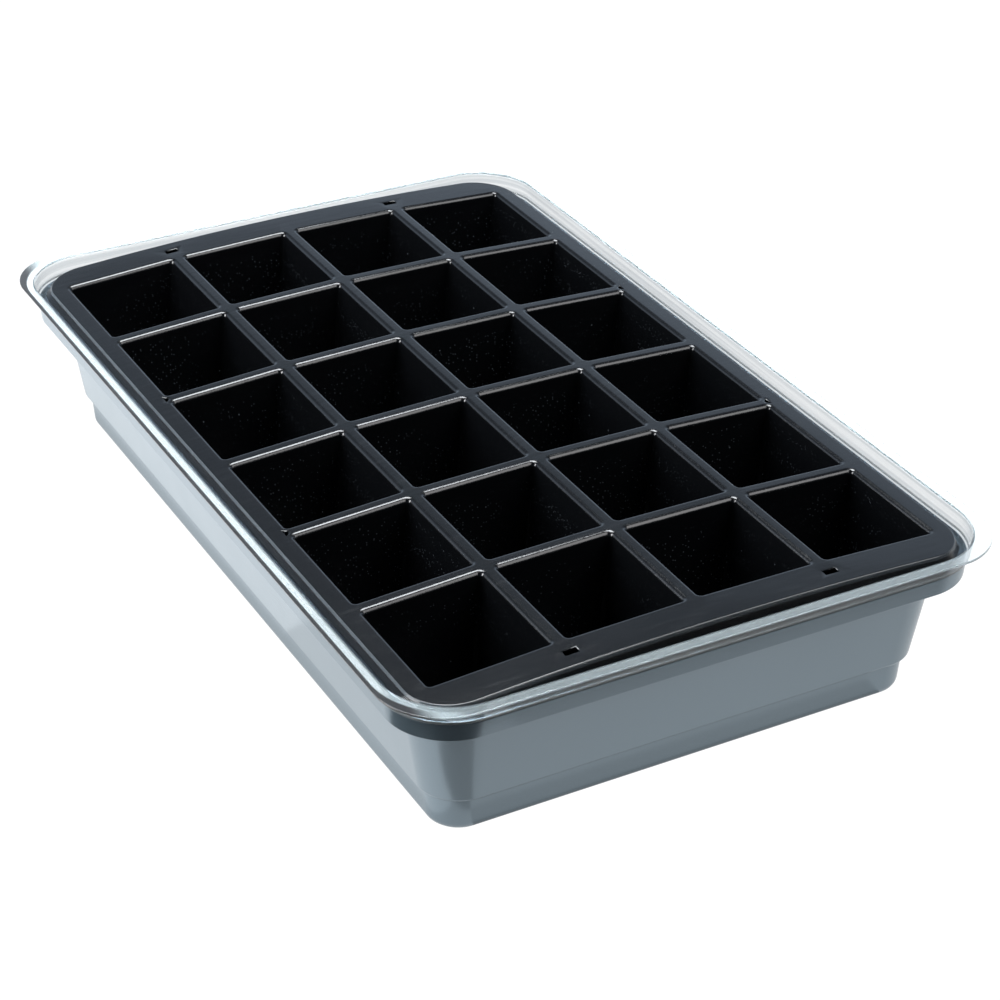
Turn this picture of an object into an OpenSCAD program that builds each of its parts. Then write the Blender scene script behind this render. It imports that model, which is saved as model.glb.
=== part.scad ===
// Seed tray set of three nested mouldings: a drip tray, a clear cover that lies upside down in it,
// and a cell insert whose skirt stands on the cover's flange.
// Millimetres, +Z up. The origin is the middle of the tray's underside, X runs across and Y along.

/* [Cells] */
// Number of cells across
cells_x = 4; // [2:1:6]
// Number of cells along
cells_y = 6; // [2:1:8]
// Cell pitch across
pitch_x = 53; // [40:0.5:70]
// Cell pitch along
pitch_y = 56.4; // [40:0.2:70]
// Width of the rib between two cells
rib_w = 6.1; // [5:0.1:9]
// Height of the insert from its rim to the underside of its cells
cell_depth = 47; // [35:0.5:60]
// Draft of the cell walls, in degrees
cell_draft = 5.25; // [1:0.25:7]
// Width of the cut along the upright edges of a cell's outside
corner_cut = 1.2; // [0.8:0.1:3]
// Radius of the rounded shoulder round a cell's mouth
shoulder_r = 2; // [1.3:0.1:2.4]
// Diameter of the drain hole in each cell's floor
drain_d = 9; // [4:0.5:16]
// Sheet thickness of the insert
sheet = 1; // [0.8:0.1:1.2]

/* [Insert rim] */
// Width of the rim beside the cells, on the long sides
side_rim = 8.2; // [8:0.1:14]
// Width of the rim beyond the cells, on the short sides
end_rim = 15.6; // [10:0.1:20]
// Corner radius of the insert's rim
insert_r = 18; // [12:0.5:24]
// Height of the insert's down-turned skirt
skirt_h = 8; // [4:0.1:10]
// How far the skirt flares out at its foot
skirt_flare = 2.2; // [0.5:0.1:4]
// Radius of the rim's upper edge
rim_edge = 1.2; // [1.1:0.1:2]
// Length of the slots in the rim's ends
slot_l = 5.6; // [3:0.1:8]
// Width of the slots in the rim's ends
slot_w = 3; // [2:0.1:4]
// Width of the slots at the rib ends
vent_w = 1.6; // [1:0.1:2.4]
// Flat left between a cell's shoulder and the slot at a rib end
vent_land = 0.4; // [0.3:0.1:0.8]

/* [Cover] */
// Wall thickness of the cover
cover_wall = 0.7; // [0.5:0.1:1]
// Room between the cells and the cover's wall, across
cell_gap_x = 1.5; // [1:0.1:6]
// Room between the cells and the cover's wall, along
cell_gap_y = 8.2; // [2:0.1:12]
// Room between the feet of the corner cells and the cover's corners
corner_gap = 0.4; // [0.3:0.1:0.9]
// Room between the cells and the cover's panel
cell_lift = 6.6; // [1:0.1:12]
// Room between the insert's skirt and the cover's upstand, across
insert_gap_x = 4.6; // [1:0.1:8]
// Room between the insert's skirt and the cover's upstand, along
insert_gap_y = 2.8; // [1:0.1:8]
// Height of the cover's upstand above the tray's rim
upstand_h = 7.8; // [5:0.1:14]
// How far the upstand leans out over its height
upstand_lean = 0.8; // [0.2:0.1:2]
// Width of the lip, out from the upstand
lip_w = 3.9; // [0.8:0.1:6]
// Thickness of the lip
lip_h = 0.9; // [0.7:0.1:3]
// Corner radius of the lip's outer edge
lip_r = 25; // [20:0.5:32]
// Radius where the cover's wall meets its panel
panel_r = 3; // [1.5:0.5:6]

/* [Tray] */
// Wall thickness of the tray
tray_wall = 1.1; // [0.9:0.1:1.8]
// Thickness of the tray's floor
tray_floor = 1.6; // [1:0.1:3]
// Draft of the tray's wall and the cover's wall, in degrees
wall_draft = 9; // [5.5:0.25:11]
// Room between the tray's wall and the cover's wall
nest_gap = 0.4; // [0.3:0.1:2]
// Room between the tray's rim and the cover's upstand when the cover is used as a lid
lid_fit = 0.4; // [0.2:0.1:1]
// Height of the narrower base below the step
base_h = 13.2; // [8:0.1:25]
// How far the base widens over its height, on each side
base_lean = 1.1; // [0.2:0.1:3]
// Width of the step above the base
step_w = 2.4; // [1.2:0.1:4]
// Room between the step and the cover's panel
panel_lift = 0.6; // [0.3:0.1:10]
// Corner radius of the tray's rim
rim_r = 25; // [20:0.5:32]
// Height of the rim's down-turned apron
apron_h = 7.8; // [4:0.1:12]
// How far the apron leans in over its height
apron_lean = 0.6; // [0.1:0.1:2]
// Radius of the rim's upper edge
tray_edge = 1; // [0.4:0.1:2]
// Radius of the base's lower edge
foot_r = 4; // [2.5:0.5:6]

/* [Hidden] */
$fn = 64;
tray_grey = [0.45, 0.50, 0.53];
cover_clear = [0.86, 0.91, 0.94, 0.35];
insert_black = [0.10, 0.11, 0.12];
// Largest turn between two points of an arc, in degrees
arc_step = 18;
// Share of the lip's edge that is rounded
lip_round = 0.9;

// Heights, from the floor upwards
z_panel = base_h + tray_wall + panel_lift;
z_cells = z_panel + cover_wall + cell_lift;
z_top = z_cells + cell_depth;
z_turn = z_top - shoulder_r;
z_seat = z_top - skirt_h;
z_rim = z_seat - cover_wall;
z_lip = z_rim + upstand_h;

// Half sizes of the cell block: at its mouth, inside, and at its foot, outside
cell_run = cell_depth * tan(cell_draft);
block_x = (cells_x * pitch_x - rib_w) / 2;
block_y = (cells_y * pitch_y - rib_w) / 2;
foot_x = block_x + sheet - cell_run;
foot_y = block_y + sheet - cell_run;

// Half sizes of the walls across the part: each wall stands outside the last by a named room
function cover_in(z) = foot_x + cell_gap_x + (z - z_cells) * tan(wall_draft);
function cover_out(z) = cover_in(z) + cover_wall;
function tray_in(z) = cover_out(z) + nest_gap;
function tray_out(z) = tray_in(z) + tray_wall;
base_top = tray_out(base_h) - step_w;
base_foot = base_top - base_lean;

// Corner radius of the cover's inside at the cells' feet that leaves corner_gap there, and the corner axes
// that the walls of tray and cover share
function corner_fit(a, b) = a + b - corner_gap + sqrt(2 * (a - corner_gap) * (b - corner_gap));
nest_r = min(
    corner_fit(cell_gap_x, cell_gap_y + corner_cut),
    corner_fit(cell_gap_x + corner_cut, cell_gap_y));
wall_ax = foot_x + cell_gap_x - nest_r;
wall_ay = foot_y + cell_gap_y - nest_r;

// Half sizes of the insert's rim, the cover's upstand and the tray's rim, and their corner axes
insert_x = block_x + side_rim;
insert_y = block_y + end_rim;
insert_ax = insert_x - insert_r;
insert_ay = insert_y - insert_r;
upstand_x = insert_x + skirt_flare + insert_gap_x;
upstand_y = insert_y + skirt_flare + insert_gap_y;
rim_ax = upstand_x - lid_fit - rim_r;
rim_ay = upstand_y - lid_fit - rim_r;
upstand_r = rim_r + lid_fit;

// Corner axes of the lip, which has its own corner radius
lip_ax = upstand_x + cover_wall + upstand_lean + lip_w - lip_r;
lip_ay = upstand_y + cover_wall + upstand_lean + lip_w - lip_r;

// Half sizes of one cell's mouth, inside, and the cut of its inner upright edges, which keeps the sheet even
mouth_x = (pitch_x - rib_w) / 2;
mouth_y = (pitch_y - rib_w) / 2;
inner_cut = corner_cut - (2 - sqrt(2)) * sheet;

// Half length of the narrow side of the slot at a rib end
vent_half = max(0.2, rib_w / 2 - shoulder_r - vent_land);

// Points of an arc round (x, z), from angle a to angle b
function arc(x, z, r, a, b) =
    let (n = max(1, ceil(abs(b - a) / arc_step)))
    [for (i = [0:n]) let (t = a + (b - a) * i / n) [x + r * cos(t), z + r * sin(t)]];

// Sweeps a profile round a rectangle of corner axes (ax, ay). The profile's x runs outwards from the
// corner axis and its y is the height, so straight runs and turned corners meet face to face.
module swept(ax, ay) {
    for (k = [0:3]) {
        a = k % 2 == 0 ? ax : ay;
        b = k % 2 == 0 ? ay : ax;
        rotate(90 * k) {
            translate([a, b, 0]) rotate([90, 0, 0]) linear_extrude(2 * b) children();
            translate([a, b, 0]) rotate_extrude(angle = 90) children();
        }
    }
}

// Flat rectangle with round corners
module rounded(ax, ay, r) {
    square([2 * ax, 2 * (ay + r)], center = true);
    square([2 * (ax + r), 2 * ay], center = true);
    for (x = [-ax, ax], y = [-ay, ay]) translate([x, y]) circle(r);
}

// Flat plate that fills the middle of a swept profile whose floor reaches r beyond its corner axes
module middle(ax, ay, r, z, h) {
    x = ax + r / 2;
    y = ay + r / 2;
    translate([-x, -y, z]) cube([2 * x, 2 * y, h]);
}

// Section of the tray's wall: floor, rounded foot, base, step and drafted wall
module tray_section() {
    foot = base_foot - wall_ax;
    top = base_top - wall_ax;
    inner_r = foot_r - tray_wall;
    polygon(concat(
        [[0, 0]],
        arc(foot - foot_r, foot_r, foot_r, -90, 0),
        [[top, base_h], [tray_out(base_h) - wall_ax, base_h], [tray_out(z_rim) - wall_ax, z_rim]],
        [[tray_in(z_rim) - wall_ax, z_rim], [tray_in(base_h + tray_wall) - wall_ax, base_h + tray_wall]],
        [[top - tray_wall, base_h + tray_wall]],
        arc(foot - foot_r, tray_floor + inner_r, inner_r, 0, -90),
        [[0, tray_floor]]));
}

// Section of the tray's apron, with the rounded upper edge of the rim
module apron_section() {
    inner = rim_r - tray_wall;
    polygon(concat(
        [[rim_r - apron_lean, z_rim - apron_h]],
        arc(rim_r - tray_edge, z_rim - tray_edge, tray_edge, 0, 90),
        [[inner - tray_edge, z_rim], [inner - tray_edge, z_rim - tray_wall], [inner, z_rim - tray_wall]],
        [[inner - apron_lean, z_rim - apron_h]]));
}

// Section of the cover's wall and the edge of its panel
module cover_section() {
    turn = cover_out(z_panel + panel_r) - wall_ax - panel_r;
    inner_r = panel_r - cover_wall;
    polygon(concat(
        [[0, z_panel]],
        arc(turn, z_panel + panel_r, panel_r, -90, 0),
        [[cover_out(z_seat) - wall_ax, z_seat], [cover_in(z_seat) - wall_ax, z_seat]],
        arc(turn, z_panel + panel_r, inner_r, 0, -90),
        [[0, z_panel + cover_wall]]));
}

// Section of the cover's upstand
module upstand_section() {
    top = upstand_r + upstand_lean;
    polygon([
        [upstand_r - cover_wall, z_rim], [upstand_r + cover_wall, z_rim], [top + cover_wall, z_lip],
        [top, z_lip], [upstand_r, z_seat], [upstand_r - cover_wall, z_seat]]);
}

// Section of the rounded outer edge of the cover's lip
module lip_section() {
    under = z_lip - lip_h;
    edge = lip_round * min(lip_h / 2, lip_w);
    polygon(concat(
        [[lip_r - lip_w / 2, under]],
        arc(lip_r - edge, under + edge, edge, -90, 0),
        arc(lip_r - edge, z_lip - edge, edge, 0, 90),
        [[lip_r - lip_w / 2, z_lip]]));
}

// Section of the insert's skirt, with the rounded upper edge of its rim
module skirt_section() {
    turn = insert_r - rim_edge;
    polygon(concat(
        [[insert_r + skirt_flare, z_seat]],
        arc(turn, z_top - rim_edge, rim_edge, 0, 90),
        [[turn - sheet, z_top], [turn - sheet, z_top - sheet], [insert_r - sheet, z_top - sheet]],
        [[insert_r + skirt_flare - sheet, z_seat]]));
}

// Bar along Y whose two sides follow an edge: points of [distance beyond the half width, height], upwards
module bar(half, spread, edge) {
    side = [for (p = edge) [half + spread * p[0], p[1]]];
    other = [for (i = [len(edge) - 1:-1:0]) [-side[i][0], side[i][1]]];
    rotate([90, 0, 0]) linear_extrude(2 * (pitch_x + pitch_y), center = true) polygon(concat(side, other));
}

// Block whose four sides follow one edge, with its upright edges cut off
module block(half_x, half_y, cut, edge) {
    diagonal = (half_x + half_y - cut) / sqrt(2);
    intersection() {
        bar(half_x, 1, edge);
        rotate(90) bar(half_y, 1, edge);
        rotate(45) bar(diagonal, sqrt(2), edge);
        rotate(-45) bar(diagonal, sqrt(2), edge);
    }
}

// Outside of one cell: foot, drafted wall and the flare under its shoulder
module cell_outside() {
    block(mouth_x, mouth_y, corner_cut, [
        [sheet - cell_run, z_cells], [sheet - shoulder_r * tan(cell_draft), z_turn],
        [shoulder_r, z_top - sheet], [shoulder_r, z_top - sheet / 2]]);
}

// Hollow of one cell: floor, drafted wall and the rounded shoulder of its mouth
module cell_hollow() {
    block(mouth_x, mouth_y, inner_cut, concat(
        [[sheet * tan(cell_draft) - cell_run, z_cells + sheet], [-shoulder_r * tan(cell_draft), z_turn]],
        arc(shoulder_r, z_turn, shoulder_r, 180 - arc_step, 90),
        [[shoulder_r, z_top + sheet]]));
}

// Places its children at every cell
module at_cells() {
    for (i = [0:cells_x - 1], j = [0:cells_y - 1])
        translate([(i - (cells_x - 1) / 2) * pitch_x, (j - (cells_y - 1) / 2) * pitch_y]) children();
}

// Slots in the rim: one across each end in line with every second rib, and one at both ends of every
// second rib across, which widens between the shoulders of two cells
module slots() {
    for (i = [1:2:cells_x - 1], s = [-1, 1])
        translate([(i - cells_x / 2) * pitch_x, s * (block_y + end_rim / 2)])
            square([slot_l, slot_w], center = true);
    for (j = [2:2:cells_y - 2], s = [-1, 1])
        translate([s * (block_x + corner_cut / 2), (j - cells_y / 2) * pitch_y])
            polygon([
                [0, -s * vent_half], [s * vent_w, -s * (vent_half + vent_w)],
                [s * vent_w, s * (vent_half + vent_w)], [0, s * vent_half]]);
}

// Grey drip tray: a drafted wall on a narrower base, with a flat rim and a down-turned apron
module drip_tray() {
    color(tray_grey) {
        swept(wall_ax, wall_ay) tray_section();
        middle(wall_ax, wall_ay, base_foot - foot_r - wall_ax, 0, tray_floor);
        translate([0, 0, z_rim - tray_wall]) linear_extrude(tray_wall) difference() {
            rounded(rim_ax, rim_ay, rim_r - tray_wall - tray_edge / 2);
            rounded(wall_ax, wall_ay, tray_in(z_rim) + tray_wall / 2 - wall_ax);
        }
        swept(rim_ax, rim_ay) apron_section();
    }
}

// Clear cover, upside down: its panel lies low in the tray, its flange on the tray's rim
module clear_cover() {
    color(cover_clear) {
        swept(wall_ax, wall_ay) cover_section();
        middle(wall_ax, wall_ay, cover_out(z_panel) - panel_r - wall_ax, z_panel, cover_wall);
        translate([0, 0, z_rim]) linear_extrude(cover_wall) difference() {
            rounded(rim_ax, rim_ay, upstand_r - cover_wall / 2);
            rounded(wall_ax, wall_ay, cover_in(z_seat) + cover_wall / 2 - wall_ax);
        }
        swept(rim_ax, rim_ay) upstand_section();
        translate([0, 0, z_lip - lip_h]) linear_extrude(lip_h) difference() {
            rounded(lip_ax, lip_ay, lip_r - lip_w / 4);
            rounded(rim_ax, rim_ay, upstand_r + upstand_lean + cover_wall / 2);
        }
        swept(lip_ax, lip_ay) lip_section();
    }
}

// Black cell insert: one sheet with a cell under every mouth, and a skirt that stands on the cover's flange
module cell_insert() {
    color(insert_black) {
        swept(insert_ax, insert_ay) skirt_section();
        difference() {
            union() {
                translate([0, 0, z_top - sheet]) linear_extrude(sheet) difference() {
                    rounded(insert_ax, insert_ay, insert_r - rim_edge - sheet / 2);
                    slots();
                }
                at_cells() cell_outside();
            }
            at_cells() {
                cell_hollow();
                translate([0, 0, z_cells - sheet]) cylinder(d = drain_d, h = 3 * sheet);
            }
        }
    }
}

drip_tray();
clear_cover();
cell_insert();
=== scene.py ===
import math

import bmesh
import bpy
from mathutils import Matrix, Vector


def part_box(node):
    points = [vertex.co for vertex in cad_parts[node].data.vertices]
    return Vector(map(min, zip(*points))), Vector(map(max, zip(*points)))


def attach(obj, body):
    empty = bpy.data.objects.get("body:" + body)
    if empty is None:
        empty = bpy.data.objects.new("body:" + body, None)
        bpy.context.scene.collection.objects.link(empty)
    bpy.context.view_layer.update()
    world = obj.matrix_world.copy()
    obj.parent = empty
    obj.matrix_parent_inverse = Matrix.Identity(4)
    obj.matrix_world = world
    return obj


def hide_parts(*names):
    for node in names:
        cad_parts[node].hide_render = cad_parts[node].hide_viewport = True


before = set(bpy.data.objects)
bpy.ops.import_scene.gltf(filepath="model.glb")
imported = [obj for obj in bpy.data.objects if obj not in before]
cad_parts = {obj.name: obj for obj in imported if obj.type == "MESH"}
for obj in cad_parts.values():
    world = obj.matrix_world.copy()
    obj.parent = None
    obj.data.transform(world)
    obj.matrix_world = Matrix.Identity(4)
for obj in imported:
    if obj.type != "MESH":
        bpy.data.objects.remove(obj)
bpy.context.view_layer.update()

# Drip tray
# The outer tray, vacuum-formed from one sheet of glossy grey plastic: a narrow base, a step, a drafted wall
# and a flat rim that turns down into an apron. It stands on its floor and carries the other two mouldings.
tray_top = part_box("drip_tray")[1]
tray_sheet = 0.0011
tray_floor = 0.0016
tray_draft = math.radians(9)
tray_edge = 0.001
tray_bend = 0.0006
rim_r = 0.025
apron_h = 0.0078
apron_lean = 0.0006
apron_edge = 0.0004
apron_bend = 0.0005
side_shelf = 0.00815
end_shelf = 0.00705
shelf_w = 0.004
shelf_seam = 0.001
shelf_bend = 0.0008
wall_r = 0.02322
base_h = 0.0152
base_lean = 0.0011
step_w = 0.0024
step_round = 0.0016
ledge_edge = 0.0004
foot_round = 0.004
corner_steps = 20
side_steps = 12
rim_axes = (tray_top.x - rim_r, tray_top.y - rim_r)
wall_axes = (tray_top.x - side_shelf - wall_r, tray_top.y - end_shelf - wall_r)


def filleted(axes, corners, steps=5):
    """Rings (axes, reach, height) along a profile of corners (reach, height, radius), turned by arcs."""
    rings = []
    for k, (reach, height, radius) in enumerate(corners):
        here = Vector((reach, height))
        if radius == 0:
            rings.append((axes, reach, height))
            continue
        back = (Vector(corners[k - 1][:2]) - here).normalized()
        ahead = (Vector(corners[k + 1][:2]) - here).normalized()
        half = back.angle(ahead) / 2
        centre = here + (back + ahead).normalized() * (radius / math.sin(half))
        spoke = here + back * (radius / math.tan(half)) - centre
        sweep = math.copysign(math.pi - 2 * half, ahead.cross(back))
        for i in range(steps + 1):
            turned = Matrix.Rotation(sweep * i / steps, 2) @ spoke
            rings.append((axes, *(centre + turned)))
    return rings


def round_loop(ring, corner_steps, side_steps):
    """Points round a rectangle whose corners turn about the ring's axes, anticlockwise from above."""
    (ax, ay), reach, height = ring
    signs = ((1, 1), (-1, 1), (-1, -1), (1, -1))
    points = []
    for quarter, (sx, sy) in enumerate(signs):
        for i in range(corner_steps + 1):
            turn = math.pi / 2 * (quarter + i / corner_steps)
            x = sx * ax + reach * math.cos(turn)
            y = sy * ay + reach * math.sin(turn)
            points.append(Vector((x, y, height)))
        next_x, next_y = signs[(quarter + 1) % 4]
        run = Vector(((next_x - sx) * ax, (next_y - sy) * ay, 0))
        end = points[-1]
        points += [end + run * (i / side_steps) for i in range(1, side_steps)]
    return points


def loft(sheet, rings, corner_steps, side_steps):
    """Skins the rings with faces and returns their rows of vertices."""
    rows = [[sheet.verts.new(p) for p in round_loop(ring, corner_steps, side_steps)] for ring in rings]
    for low, high in zip(rows, rows[1:]):
        for i in range(len(low)):
            sheet.faces.new((low[i - 1], low[i], high[i], high[i - 1]))
    return rows


def middle(sheet, axes, height, side_steps):
    """Fills the flat rectangle between the corner axes at a height."""
    grid = bmesh.ops.create_grid(sheet, x_segments=side_steps, y_segments=side_steps, size=1)
    for vertex in grid["verts"]:
        vertex.co = Vector((vertex.co.x * axes[0], vertex.co.y * axes[1], height))


def moulding(name, sheet, material):
    """Turns a sheet into an object with evenly shaded faces that point outwards."""
    bmesh.ops.remove_doubles(sheet, verts=sheet.verts, dist=1e-6)
    bmesh.ops.recalc_face_normals(sheet, faces=sheet.faces)
    mesh = bpy.data.meshes.new(name)
    sheet.to_mesh(mesh)
    sheet.free()
    mesh.materials.append(material)
    mesh.shade_smooth()
    mesh.set_sharp_from_angle(angle=math.radians(50))
    piece = bpy.data.objects.new(name, mesh)
    bpy.context.scene.collection.objects.link(piece)
    even = piece.modifiers.new("Even shading", "WEIGHTED_NORMAL")
    even.weight = 90
    even.keep_sharp = True
    return piece


def settle(piece):
    """Applies a piece's modifiers, so that a plain mesh is left."""
    shown = piece.evaluated_get(bpy.context.evaluated_depsgraph_get())
    mesh = bpy.data.meshes.new_from_object(shown)
    piece.modifiers.clear()
    piece.data = mesh
    mesh.name = piece.name
    return piece


class Wire:
    """A value on its way through a material's nodes, used in plain arithmetic."""

    def __init__(self, finish, socket):
        self.finish = finish
        self.socket = socket

    def __add__(self, other):
        return self.finish.math("ADD", self, other)

    def __radd__(self, other):
        return self.finish.math("ADD", other, self)

    def __sub__(self, other):
        return self.finish.math("SUBTRACT", self, other)

    def __rsub__(self, other):
        return self.finish.math("SUBTRACT", other, self)

    def __mul__(self, other):
        return self.finish.math("MULTIPLY", self, other)

    def __rmul__(self, other):
        return self.finish.math("MULTIPLY", other, self)

    def __lt__(self, other):
        return self.finish.math("LESS_THAN", self, other)


class Finish:
    """A material written as expressions that end in its shader."""

    def __init__(self, name):
        self.material = bpy.data.materials.new(name)
        self.material.use_nodes = True
        self.tree = self.material.node_tree
        self.shader = self.tree.nodes["Principled BSDF"]
        self.place = self.node("ShaderNodeTexCoord", output="Object")

    def feed(self, socket, value):
        """Links a value to a socket, or sets a plain one on it."""
        if isinstance(value, Wire):
            self.tree.links.new(value.socket, socket)
        else:
            socket.default_value = value

    def node(self, kind, settings=None, inputs=None, output=0):
        """Adds a node with its settings and the values of its sockets."""
        made = self.tree.nodes.new(kind)
        for name, value in (settings or {}).items():
            setattr(made, name, value)
        for name, value in (inputs or {}).items():
            self.feed(made.inputs[name], value)
        return Wire(self, made.outputs[output])

    def math(self, operation, a, b):
        return self.node("ShaderNodeMath", {"operation": operation}, {0: a, 1: b})

    def along(self, axis):
        """The place on the piece along X, Y or Z."""
        return self.node("ShaderNodeSeparateXYZ", None, {"Vector": self.place}, axis)

    def reach(self, axes):
        """Distance outwards from the corner axes, seen from above."""
        away = self.place
        for operation, other in (("ABSOLUTE", None), ("SUBTRACT", (*axes, 0)), ("MAXIMUM", (0, 0, 0)),
                                 ("MULTIPLY", (1, 1, 0))):
            ends = {0: away} if other is None else {0: away, 1: other}
            away = self.node("ShaderNodeVectorMath", {"operation": operation}, ends)
        return self.node("ShaderNodeVectorMath", {"operation": "LENGTH"}, {0: away}, "Value")

    def noise(self, scale, detail=3.0, stretch=(1, 1, 1)):
        """Soft cloudy noise, drawn out by the stretch."""
        place = self.node("ShaderNodeMapping", None, {"Vector": self.place, "Scale": stretch})
        return self.node("ShaderNodeTexNoise", None, {"Vector": place, "Scale": scale, "Detail": detail})

    def between(self, value, low, high):
        """The value's share of the way from low to high, held to 0 and 1."""
        ends = {"Value": value, "From Min": low, "From Max": high}
        return self.node("ShaderNodeMapRange", {"interpolation_type": "SMOOTHSTEP"}, ends)

    def tint(self, share, a, b):
        """Colour a turning to colour b."""
        return self.node("ShaderNodeMix", {"data_type": "RGBA"}, {0: share, 6: a, 7: b}, 2)

    def specks(self, scale, size, kept):
        """Round specks, of which the share kept is left."""
        grain = {"Vector": self.place, "Scale": scale}
        near = self.node("ShaderNodeTexVoronoi", None, grain, "Distance")
        lot = self.node("ShaderNodeTexVoronoi", None, grain, "Color")
        chance = self.node("ShaderNodeSeparateColor", None, {"Color": lot})
        return (1 - self.between(near, 0.6 * size, size)) * (chance < kept)

    def bump(self, height, distance):
        return self.node("ShaderNodeBump", None, {"Height": height, "Distance": distance})

    def surface(self, **inputs):
        """Sets the shader's sockets and returns the material."""
        for name, value in inputs.items():
            self.feed(self.shader.inputs[name.replace("_", " ")], value)
        return self.material


grey = Finish("grey_plastic")
flow = grey.noise(9.0, 2.0, (1, 1, 0.4))
haze = grey.noise(60.0, 4.0)
pores = grey.noise(900.0, 2.0)
lint = grey.specks(160.0, 0.10, 0.06)
sheet_grey = grey.tint(grey.between(flow, 0.3, 0.7), (0.034, 0.050, 0.060, 1), (0.038, 0.055, 0.066, 1))
grey_plastic = grey.surface(
    Base_Color=grey.tint(lint * 0.5, sheet_grey, (0.02, 0.025, 0.03, 1)),
    Roughness=0.17 + 0.08 * haze + 0.03 * pores,
    IOR=2.5,
    Specular_Tint=(0.72, 0.88, 1.0, 1),
    Normal=grey.bump(0.2 * flow + 0.01 * haze + 0.001 * pores, 0.0012))

rim_z = tray_top.z
apron_z = rim_z - apron_h
rim_under = rim_z - tray_sheet


def tray_wall(z):
    """Reach of the tray's outer wall from the corner axes at a height."""
    return wall_r - (rim_z - z) * math.tan(tray_draft)


base_reach = tray_wall(base_h) - step_w
foot_reach = base_reach - base_lean
step_top = base_h + tray_sheet
shelf_inner = rim_r - shelf_w
tray_rings = (
    filleted(wall_axes, [
        (0, tray_floor, 0),
        (foot_reach - tray_sheet, tray_floor, foot_round - tray_sheet),
        (base_reach - tray_sheet, step_top, tray_bend),
        (tray_wall(step_top) - tray_sheet, step_top, tray_edge),
        (wall_r - tray_sheet, rim_z, tray_bend),
        (wall_r + shelf_seam, rim_z, 0)])
    + filleted(rim_axes, [
        (shelf_inner, rim_z, 0),
        (rim_r, rim_z, tray_edge),
        (rim_r - apron_lean, apron_z, apron_edge),
        (rim_r - apron_lean - tray_sheet, apron_z, apron_edge),
        (rim_r - tray_sheet, rim_under, apron_bend),
        (shelf_inner, rim_under, 0)])
    + filleted(wall_axes, [
        (wall_r + 2 * shelf_seam, rim_under, 0),
        (tray_wall(rim_under), rim_under, shelf_bend),
        (tray_wall(base_h), base_h, step_round),
        (base_reach, base_h, ledge_edge),
        (foot_reach, 0, foot_round),
        (0, 0, 0)]))
shell = bmesh.new()
loft(shell, tray_rings, corner_steps, side_steps)
middle(shell, wall_axes, tray_floor, side_steps)
middle(shell, wall_axes, 0, side_steps)
drip_tray = settle(moulding("grey_drip_tray", shell, grey_plastic))
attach(drip_tray, "tray")
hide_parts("drip_tray")

# Clear cover
# The propagator lid, formed from thin clear sheet, lies upside down in the tray: its panel low down, its
# flange on the tray's rim, its upstand with a flat lip pointing up. The insert stands on its flange.
cover_low, cover_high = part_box("clear_cover")
cover_sheet = 0.0007
cover_bend = 0.0003
nest_gap = 0.0004
rest_gap = 0.00006
panel_r = 0.003
flange_bend = 0.0008
upstand_set = 0.0004
upstand_lean = 0.0008
upstand_bend = 0.0006
lip_h = 0.0009
lip_r = 0.025
lip_edge = 0.0004
lip_root = 0.0012
lip_under_root = 0.001
lip_under_set = 0.0001
lip_tip = 0.0015

panel_z = cover_low.z
panel_top = panel_z + cover_sheet
lip_z = cover_high.z
seat_z = rim_z + cover_sheet
flange_under = rim_z + rest_gap
lip_under = lip_z - lip_h
lip_axes = (cover_high.x - lip_r, cover_high.y - lip_r)
upstand_r = rim_r + upstand_set
lip_inner = upstand_r + upstand_lean
lip_back = lip_inner + cover_sheet

clear = Finish("clear_plastic")
ripple = clear.noise(14.0, 2.0)
rub = clear.noise(240.0, 3.0, (1, 1, 0.3))
streak = clear.noise(1.0, 2.0, (6, 6, 700))
lip_share = clear.between(clear.along("Z"), lip_under - 0.0005, lip_under)
# Painted shade: the sheet below the lip is tinted grey, in faint streaks, which darkens the upstand's band
shaded_upstand_tint = clear.tint(clear.between(streak, 0.35, 0.65), (0.64, 0.67, 0.69, 1), (0.82, 0.84, 0.85, 1))
clear_plastic = clear.surface(
    Base_Color=clear.tint(lip_share, shaded_upstand_tint, (0.97, 0.985, 0.99, 1)),
    Roughness=0.03 + 0.06 * clear.between(rub, 0.5, 0.8),
    IOR=1.5,
    Transmission_Weight=1.0,
    Normal=clear.bump(0.1 * ripple + 0.0006 * rub, 0.0008))

# The lip is a little milky, more so at the right and the back, and its outer edge along the left carries
# painted shade, a dark band.
# A dark line runs where the upstand meets the flange.
reach = clear.reach(rim_axes)
left = clear.between(clear.along("X"), -0.100, -0.118)
right = clear.between(clear.along("X"), 0.110, 0.119)
rear = clear.between(clear.along("Y"), 0.180, 0.188)
far = 1 - (1 - right) * (1 - rear)
# Painted shade: a dark band along the outer edge of the lip at the left
painted_edge_shade = left * clear.between(reach, lip_inner + 0.0028, lip_inner + 0.0034)
milk = lip_share * clear.between(reach, lip_inner, lip_inner + 0.0008) * (0.10 + 0.07 * left + 0.18 * far)
# A dark line where the upstand meets the flange
seat_line = clear.between(clear.along("Z"), seat_z + 0.0006, seat_z - 0.0003)
seat_line = seat_line * clear.between(reach, upstand_r - 0.0004, upstand_r + 0.0002)
cloudy = clear.node("ShaderNodeBsdfPrincipled", None, {
    "Base Color": clear.tint(painted_edge_shade + seat_line, (0.74, 0.86, 0.89, 1), (0.024, 0.024, 0.025, 1)),
    "Roughness": 0.2,
    "IOR": 1.5})
mixed = clear.node("ShaderNodeMixShader", None, {
    0: milk * (1 - painted_edge_shade) + 0.8 * painted_edge_shade + 0.75 * seat_line,
    1: Wire(clear, clear.shader.outputs[0]),
    2: cloudy})
clear.feed(clear.tree.nodes["Material Output"].inputs["Surface"], mixed)


def cover_wall(z):
    """Reach of the cover's outer wall from the corner axes at a height."""
    return tray_wall(z) - tray_sheet - nest_gap


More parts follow.
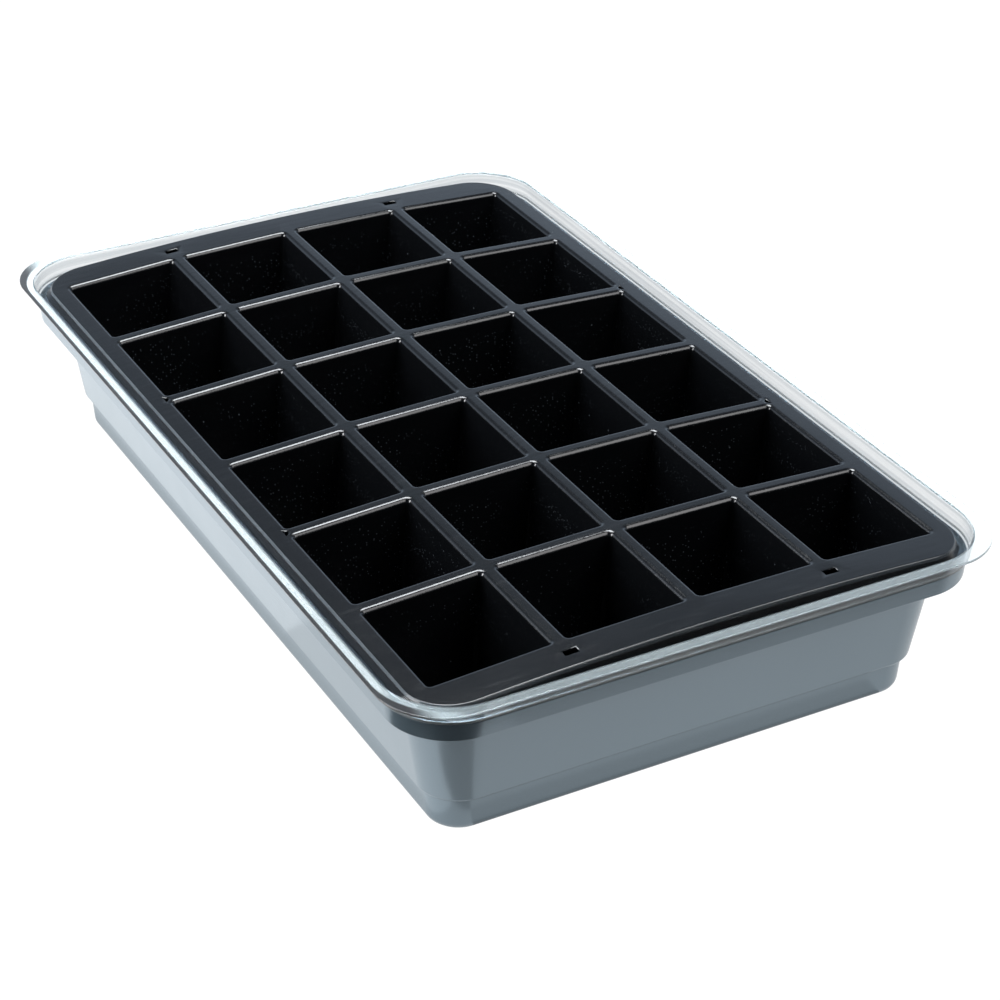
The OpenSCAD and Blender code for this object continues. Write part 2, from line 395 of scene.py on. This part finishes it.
cover_rings = (
    filleted(wall_axes, [
        (0, panel_top, 0),
        (cover_wall(panel_z) - cover_sheet, panel_top, panel_r - cover_sheet),
        (cover_wall(seat_z) - cover_sheet, seat_z, flange_bend),
        (wall_r + shelf_seam, seat_z, 0)])
    + filleted(rim_axes, [
        (shelf_inner, seat_z, 0),
        (upstand_r, seat_z, upstand_bend),
        (lip_inner, lip_z, lip_edge),
        (lip_inner + lip_root, lip_z, 0)])
    + filleted(lip_axes, [
        (lip_r - lip_tip, lip_z, 0),
        (lip_r, lip_z, lip_edge),
        (lip_r, lip_under, lip_edge),
        (lip_r - lip_tip, lip_under, 0)])
    + filleted(rim_axes, [
        (lip_back + lip_under_root, lip_under, 0),
        (lip_back - lip_under_set, lip_under, cover_bend),
        (upstand_r + cover_sheet, flange_under, upstand_bend),
        (shelf_inner, flange_under, 0)])
    + filleted(wall_axes, [
        (wall_r + shelf_seam, flange_under, 0),
        (cover_wall(flange_under), flange_under, cover_bend),
        (cover_wall(panel_z), panel_z, panel_r),
        (0, panel_z, 0)]))
shell = bmesh.new()
loft(shell, cover_rings, corner_steps, side_steps)
middle(shell, wall_axes, panel_z, side_steps)
middle(shell, wall_axes, panel_top, side_steps)
clear_cover = settle(moulding("clear_cover_shell", shell, clear_plastic))
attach(clear_cover, "cover")
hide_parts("clear_cover")

# Cell insert
# Black sheet formed into twenty-four drafted cells with a drain hole each. Its rim turns down into a flared
# skirt that stands on the cover's flange, and has small slots at the ends of some ribs.
insert_low, insert_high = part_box("cell_insert")
cells_across = 4
cells_along = 6
pitch_x = 0.053
pitch_y = 0.0564
rib_w = 0.0061
insert_sheet = 0.001
cell_draft = math.radians(5.25)
cell_corner = 0.0014
cell_foot = 0.0016
cell_neck = 0.0008
cell_steps = 6
shoulder_r = 0.002
floor_bend = 0.0008
floor_margin = 0.004
drain_r = 0.0045
insert_r = 0.018
skirt_flare = 0.0022
skirt_edge = 0.0003
skirt_bend = 0.0004
rim_edge = 0.0006
rim_band = 0.004
end_rim = 0.0156
slot_l = 0.0056
slot_w = 0.003
vent_w = 0.0016
vent_half = 0.00065
vent_off = 0.0006
slot_edge = 0.00025

insert_x = insert_high.x - skirt_flare
insert_y = insert_high.y - skirt_flare
insert_axes = (insert_x - insert_r, insert_y - insert_r)
top_z = insert_high.z

# Dust lies in the cells, and a pale highlight is painted along the rim's edge, most of all along the left
black = Finish("black_plastic")
sheen = black.noise(30.0, 3.0)
grain = black.noise(1400.0, 2.0)
scuff = black.noise(420.0, 3.0, (0.15, 1, 1))
deep = black.between(black.along("Z"), top_z - 0.006, top_z - 0.010)
dust = black.specks(900.0, 0.30, 0.30) * black.between(black.noise(22.0, 3.0), 0.35, 0.65)
lint = black.specks(330.0, 0.14, 0.05)
rim_reach = black.reach(insert_axes)
# Painted highlight: a pale line along the rim's edge, strongest along the left
painted_rim_highlight = black.between(rim_reach, insert_r - 0.0004, insert_r - 0.0001)
painted_rim_highlight = painted_rim_highlight * black.between(rim_reach, insert_r + 0.0006, insert_r + 0.0003)
painted_rim_highlight = painted_rim_highlight * (0.35 + 0.65 * black.between(black.along("X"), -0.095, -0.108))
black_plastic = black.surface(
    Base_Color=black.tint(deep * (0.5 * dust + 0.8 * lint) + 0.03 * lint + painted_rim_highlight,
                          (0.0017, 0.0020, 0.0025, 1), (0.07, 0.08, 0.09, 1)),
    Roughness=0.15 + 0.08 * sheen + 0.06 * black.between(scuff, 0.5, 0.8),
    IOR=1.5,
    Normal=black.bump(0.1 * grain + 0.12 * scuff, 0.0003))

cells_z = insert_low.z
floor_z = cells_z + insert_sheet
sheet_under = top_z - insert_sheet
foot_z = seat_z + rest_gap
mouth_x = (pitch_x - rib_w) / 2
mouth_y = (pitch_y - rib_w) / 2
cell_run = (top_z - cells_z) * math.tan(cell_draft)


def cell_ring(spread, height):
    """Ring of a cell at a height, a spread outside the line of its mouth."""
    corner = cell_corner + max(spread, -0.15 * spread)
    return (mouth_x + spread - corner, mouth_y + spread - corner), corner, height


# One cell, from the underside of the sheet round its wall, floor and drain hole to the shoulder of its mouth
drain_axes = (0, 0)
floor_edge = -cell_run - floor_margin
outside = filleted(None, [
    (shoulder_r, sheet_under, 0),
    (insert_sheet, sheet_under - cell_neck, 0),
    (insert_sheet - cell_run, cells_z, cell_foot),
    (floor_edge, cells_z, 0)])
inside = filleted(None, [
    (floor_edge, floor_z, 0),
    (insert_sheet * math.tan(cell_draft) - cell_run, floor_z, floor_bend),
    (0, top_z, shoulder_r),
    (2 * shoulder_r, top_z, 0)], 8)[:-1]
cell_rings = [cell_ring(spread, height) for _, spread, height in outside]
cell_rings += [(drain_axes, drain_r, cells_z), (drain_axes, drain_r, floor_z)]
cell_rings += [cell_ring(spread, height) for _, spread, height in inside]
shell = bmesh.new()
loft(shell, cell_rings, cell_steps, 1)
cell = moulding("cell", shell, black_plastic)

# The sheet between the cells, with the slots, and the skirt round its edge
skirt_rings = filleted(insert_axes, [
    (insert_r - rim_band, top_z, 0),
    (insert_r, top_z, rim_edge),
    (insert_r + skirt_flare, foot_z, skirt_edge),
    (insert_r + skirt_flare - insert_sheet, foot_z, skirt_edge),
    (insert_r - insert_sheet, sheet_under, skirt_bend),
    (insert_r - rim_band, sheet_under, 0)])
shell = bmesh.new()
rows = loft(shell, skirt_rings, corner_steps, side_steps)
block_x = (cells_across * pitch_x - rib_w) / 2
block_y = (cells_along * pitch_y - rib_w) / 2
cell_places = [((i - (cells_across - 1) / 2) * pitch_x, (j - (cells_along - 1) / 2) * pitch_y)
               for i in range(cells_across) for j in range(cells_along)]
end_slot = [(sx * slot_l / 2, sy * slot_w / 2) for sx, sy in ((-1, -1), (1, -1), (1, 1), (-1, 1))]
side_slot = [(0, -vent_half), (vent_w, -vent_half - vent_w), (vent_w, vent_half + vent_w), (0, vent_half)]
slot_places = [((i - cells_across / 2) * pitch_x, s * (block_y + end_rim / 2), s, end_slot)
               for i in range(1, cells_across, 2) for s in (-1, 1)]
slot_places += [(s * (block_x + vent_off), (j - cells_along / 2) * pitch_y, s, side_slot)
                for j in range(2, cells_along - 1, 2) for s in (-1, 1)]


def closed(loop):
    """Edges that join the loop's vertices into a ring."""
    return [shell.edges.get((a, b)) or shell.edges.new((a, b)) for a, b in zip(loop, loop[1:] + loop[:1])]


top_edges = closed(rows[0])
under_edges = closed(rows[-1])
for x, y in cell_places:
    for ring, edges in ((cell_rings[-1], top_edges), (cell_rings[0], under_edges)):
        mouth = round_loop(ring, cell_steps, 1)
        edges += closed([shell.verts.new(p + Vector((x, y, 0))) for p in mouth])
for x, y, turned, outline in slot_places:
    slot_rows = []
    middle_x = sum(a for a, b in outline) / 4
    for grow, height in ((slot_edge, top_z), (0, top_z - slot_edge), (0, sheet_under)):
        corners = [(a + math.copysign(grow, a - middle_x), b + math.copysign(grow, b)) for a, b in outline]
        slot_rows.append([shell.verts.new((x + turned * a, y + turned * b, height)) for a, b in corners])
    for low, high in zip(slot_rows, slot_rows[1:]):
        for i in range(4):
            shell.faces.new((low[i - 1], low[i], high[i], high[i - 1]))
    top_edges += closed(slot_rows[0])
    under_edges += closed(slot_rows[-1])
bmesh.ops.triangle_fill(shell, edges=top_edges, use_beauty=True)
bmesh.ops.triangle_fill(shell, edges=under_edges, use_beauty=True)
cell_insert = moulding("black_cell_insert", shell, black_plastic)

# Nodes that hang one cell in every mouth of the sheet and weld the seams
weld_gap = 2e-6
tree = bpy.data.node_groups.new("cells_in_sheet", "GeometryNodeTree")
inputs = {}
for label, kind in (("Sheet", "Geometry"), ("Cell", "Object"), ("Cells across", "Int"),
                    ("Cells along", "Int"), ("Pitch across", "Float"), ("Pitch along", "Float"),
                    ("Plastic", "Material")):
    socket = tree.interface.new_socket(label, in_out="INPUT", socket_type="NodeSocket" + kind)
    inputs[label] = socket.identifier
tree.interface.new_socket("Insert", in_out="OUTPUT", socket_type="NodeSocketGeometry")
given = tree.nodes.new("NodeGroupInput").outputs


def step(kind, **sockets):
    """Adds a node to the tree, with its named sockets linked or set."""
    made = tree.nodes.new("GeometryNode" + kind)
    for name, value in sockets.items():
        socket = made.inputs[name.replace("_", " ")]
        if isinstance(value, bpy.types.NodeSocket):
            tree.links.new(value, socket)
        else:
            socket.default_value = value
    return made


def span(count, pitch):
    """Length of a row of cells from the first axis to the last."""
    gaps = tree.nodes.new("ShaderNodeMath")
    gaps.operation = "SUBTRACT"
    tree.links.new(count, gaps.inputs[0])
    gaps.inputs[1].default_value = 1
    length = tree.nodes.new("ShaderNodeMath")
    length.operation = "MULTIPLY"
    tree.links.new(gaps.outputs[0], length.inputs[0])
    tree.links.new(pitch, length.inputs[1])
    return length.outputs[0]


grid = step("MeshGrid", Size_X=span(given["Cells across"], given["Pitch across"]),
            Size_Y=span(given["Cells along"], given["Pitch along"]),
            Vertices_X=given["Cells across"], Vertices_Y=given["Cells along"])
one = step("ObjectInfo", Object=given["Cell"], As_Instance=True)
block = step("InstanceOnPoints", Points=grid.outputs["Mesh"], Instance=one.outputs["Geometry"])
solid = step("RealizeInstances", Geometry=block.outputs["Instances"])
joined = step("JoinGeometry")
tree.links.new(given["Sheet"], joined.inputs["Geometry"])
tree.links.new(solid.outputs["Geometry"], joined.inputs["Geometry"])
welded = step("MergeByDistance", Geometry=joined.outputs["Geometry"], Distance=weld_gap)
made_of = step("SetMaterial", Geometry=welded.outputs["Geometry"], Material=given["Plastic"])
tree.links.new(made_of.outputs["Geometry"], tree.nodes.new("NodeGroupOutput").inputs["Insert"])

cell_insert.modifiers.clear()
hang = cell_insert.modifiers.new("Cells", "NODES")
hang.node_group = tree
for label, value in (("Cell", cell), ("Cells across", cells_across), ("Cells along", cells_along),
                     ("Pitch across", pitch_x), ("Pitch along", pitch_y), ("Plastic", black_plastic)):
    hang[inputs[label]] = value
settle(cell_insert)
bpy.data.objects.remove(cell)
shell = bmesh.new()
shell.from_mesh(cell_insert.data)
bpy.data.objects.remove(cell_insert)

# The thin sheet is arched across and leans a little, while the skirt's foot and the cells' floors stay put
arch = 0.325
lean = 0.0076
lift = -0.00045
for vertex in shell.verts:
    x, y, z = vertex.co
    skirt = max(abs(x) - insert_x, abs(y) - insert_y) > -rim_edge - insert_sheet
    base_z = foot_z if skirt else cells_z
    share = min(1, max(0, (z - base_z) / (sheet_under - base_z)))
    vertex.co.z += share * (lift + lean * x - arch * x * x)
cell_insert = settle(moulding("black_cell_insert", shell, black_plastic))
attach(cell_insert, "insert")
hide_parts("cell_insert")

# Studio
# A white floor that glows, so that it stays pale round the object, soft lamps above, to the left and in
# front, cards that show in the gloss, a sky that fades upwards, and the camera at the photograph's angle.
floor_reach = 6.0
floor_drop = 0.0002
shell = bmesh.new()
bmesh.ops.create_grid(shell, x_segments=1, y_segments=1, size=floor_reach)
mesh = bpy.data.meshes.new("floor")
shell.to_mesh(mesh)
shell.free()
paper = Finish("white_floor")
mesh.materials.append(paper.surface(Base_Color=(0.02, 0.02, 0.02, 1), Roughness=0.9,
                                    Emission_Color=(1, 1, 1, 1), Emission_Strength=1.0))
floor = bpy.data.objects.new("floor", mesh)
floor.location.z = -floor_drop
bpy.context.scene.collection.objects.link(floor)


def softbox(name, place, aim, width, height, glow, colour=(1, 1, 1)):
    """A rectangular lamp at a place, turned to an aim, with an even glow over its face."""
    lamp = bpy.data.lights.new(name, "AREA")
    lamp.shape = "RECTANGLE"
    lamp.size = width
    lamp.size_y = height
    lamp.energy = glow * width * height * math.pi
    lamp.color = colour
    holder = bpy.data.objects.new(name, lamp)
    holder.location = place
    holder.rotation_euler = (Vector(aim) - Vector(place)).to_track_quat("-Z", "Y").to_euler()
    holder.visible_camera = False
    bpy.context.scene.collection.objects.link(holder)


softbox("overhead", (0.055, 0.25, 1.1), (0.055, 0.25, 0), 0.73, 0.6, 20, (0.93, 0.97, 1))
softbox("left_key", (-1.3, 0.4, 0.6), (0, 0, 0.05), 0.8, 0.8, 16)
softbox("front_fill", (0.9, -1.2, 1.4), (0, 0, 0.05), 1.3, 1.5, 4.6)

azimuth = math.radians(-29.11)
elevation = math.radians(31.05)


def card(name, low, high, glow, turn=0, lift=0.0004):
    """A flat card just above the floor, between two corners turned about the origin, with an even glow."""
    shell = bmesh.new()
    corners = (low, (high[0], low[1]), high, (low[0], high[1]))
    turned = Matrix.Rotation(turn, 3, "Z")
    shell.faces.new([shell.verts.new(turned @ Vector((*corner, lift))) for corner in corners])
    mesh = bpy.data.meshes.new(name)
    shell.to_mesh(mesh)
    shell.free()
    face = Finish(name)
    mesh.materials.append(face.surface(Base_Color=(0.01, 0.01, 0.01, 1), Roughness=1.0,
                                       Emission_Color=(1, 1, 1, 1), Emission_Strength=glow))
    piece = bpy.data.objects.new(name, mesh)
    piece.visible_camera = False
    piece.visible_shadow = False
    bpy.context.scene.collection.objects.link(piece)


card("corner_card", (-0.3, -0.85), (0.3, -0.24), 0, azimuth, 0.0006)
card("front_card", (-3.0, -5.0), (3.0, -0.45), 0)
card("left_card", (-0.5, -0.03), (-0.104, 0.6), 1.8)
card("left_strip", (-0.15, -0.178), (-0.104, -0.03), 1.4)
card("turn_card", (-0.5, -0.25), (-0.152, -0.115), 0)
card("apron_shade", (-0.05, -0.245), (0.2, -0.224), 0.65)
card("skirt_shade", (-0.06, -0.45), (0.25, -0.25), 0)
card("corner_shade", (-0.131, -0.215), (-0.086, -0.178), 0.62)
foot_y = wall_axes[1] + foot_reach
card("base_shade", (-wall_axes[0], -foot_y - 0.01), (wall_axes[0], -foot_y - 0.003), 0.78)
card("foot_shade", (-wall_axes[0], -foot_y - 0.003), (wall_axes[0], 0), 0.5)

# The sky lights from the horizon and from behind the object, and the camera sees plain white in its place
world = bpy.data.worlds.new("room")
world.use_nodes = True
room = world.node_tree
sky = room.nodes["Background"]
facing = room.nodes.new("ShaderNodeTexCoord")
parts = room.nodes.new("ShaderNodeSeparateXYZ")
fade = room.nodes.new("ShaderNodeValToRGB")
sky_steps = ((0.26, 1.0), (0.42, 0.85), (0.48, 0.55), (0.57, 0.28), (0.75, 0.15))
while len(fade.color_ramp.elements) < len(sky_steps):
    fade.color_ramp.elements.new(1)
for element, (place, glow) in zip(fade.color_ramp.elements, sky_steps):
    element.position = place
    element.color = (0.68 * glow, 0.82 * glow, glow, 1)
behind = room.nodes.new("ShaderNodeMapRange")
behind.interpolation_type = "SMOOTHSTEP"
for name, value in (("From Min", -0.6), ("From Max", 0.3), ("To Min", 0.08)):
    behind.inputs[name].default_value = value
backdrop = room.nodes.new("ShaderNodeBackground")
backdrop.inputs["Color"].default_value = (1, 1, 1, 1)
path = room.nodes.new("ShaderNodeLightPath")
either = room.nodes.new("ShaderNodeMixShader")
for output, socket in ((facing.outputs["Generated"], parts.inputs["Vector"]),
                       (parts.outputs["Z"], fade.inputs["Fac"]),
                       (parts.outputs["Y"], behind.inputs["Value"]),
                       (fade.outputs["Color"], sky.inputs["Color"]),
                       (behind.outputs["Result"], sky.inputs["Strength"]),
                       (path.outputs["Is Camera Ray"], either.inputs[0]),
                       (sky.outputs[0], either.inputs[1]),
                       (backdrop.outputs[0], either.inputs[2]),
                       (either.outputs[0], room.nodes["World Output"].inputs["Surface"])):
    room.links.new(output, socket)
bpy.context.scene.world = world
bpy.context.scene.view_settings.view_transform = "Standard"

roll = math.radians(0.88)
distance = 1.0462
target = Vector((0.0016, -0.0252, 0.0322))
focal_px = 2651
frame_px = 1000
back = Vector((math.sin(azimuth) * math.cos(elevation), -math.cos(azimuth) * math.cos(elevation),
               math.sin(elevation)))
right = Vector((0, 0, 1)).cross(back).normalized()
up = back.cross(right)
right, up = right * math.cos(roll) + up * math.sin(roll), up * math.cos(roll) - right * math.sin(roll)
lens = bpy.data.cameras.new("camera")
lens.sensor_width = 36
lens.lens = focal_px / frame_px * lens.sensor_width
lens.clip_end = 50
camera = bpy.data.objects.new("camera", lens)
turned = Matrix((right, up, back)).transposed().to_4x4()
camera.matrix_world = Matrix.Translation(target + back * distance) @ turned
bpy.context.scene.collection.objects.link(camera)
bpy.context.scene.camera = camera
